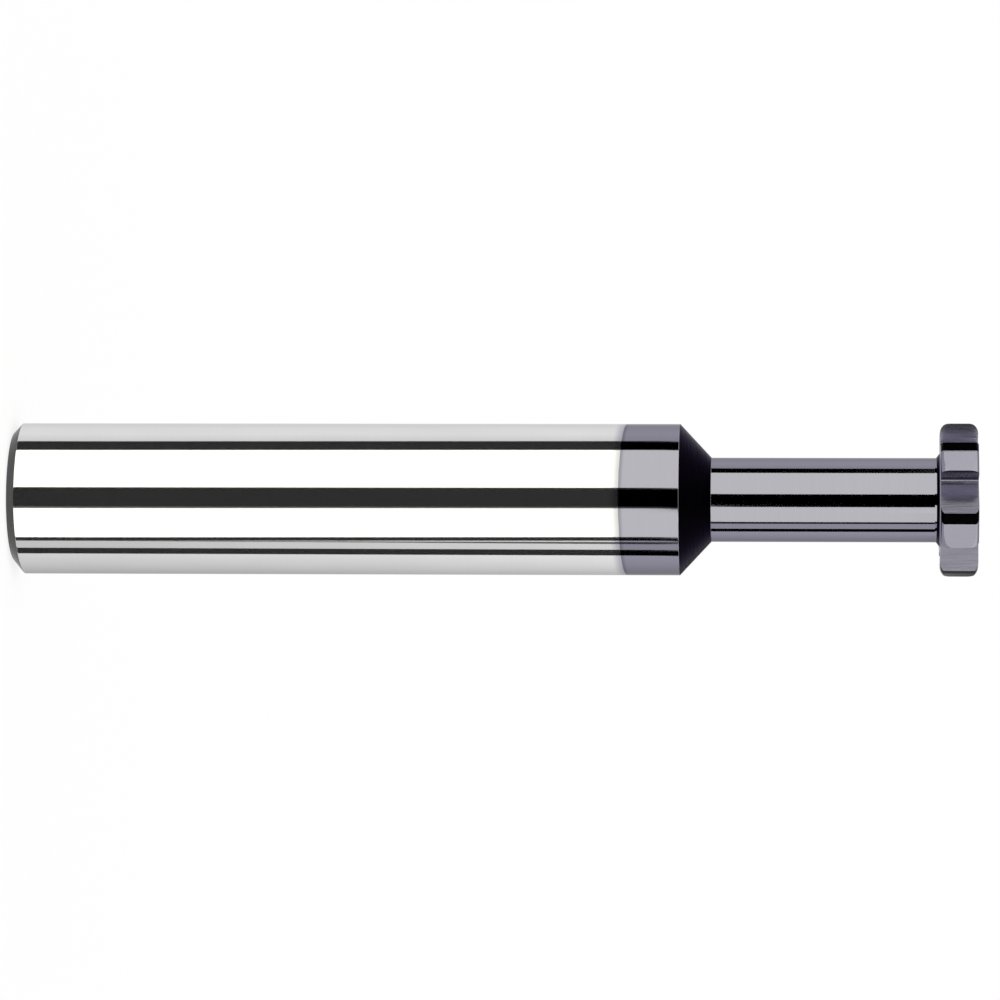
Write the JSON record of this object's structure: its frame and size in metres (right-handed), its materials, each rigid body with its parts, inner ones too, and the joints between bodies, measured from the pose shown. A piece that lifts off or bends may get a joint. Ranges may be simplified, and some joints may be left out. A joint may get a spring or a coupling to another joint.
{
  "type": "woodruff keyseat cutter",
  "caption": "Solid carbide keyseat milling cutter: plain round shank, tapered step, slim neck and a narrow toothed wheel with rounded corners for woodruff keyways.",
  "frame": {"origin": "centre of the shank's flat end face, which the cutter stands on", "axes": "+Z along the tool's axis from the shank end to the toothed head; +X through the cutting edge of the first tooth"},
  "size_m": [0.013, 0.0126, 0.0809],
  "materials": {
    "carbide": "ground bright on the shank, with a dark violet-grey hard coating on the head end"
  },
  "bodies": {
    "root": {"keyseat_cutter": "carbide"}
  },
  "joints": []
}
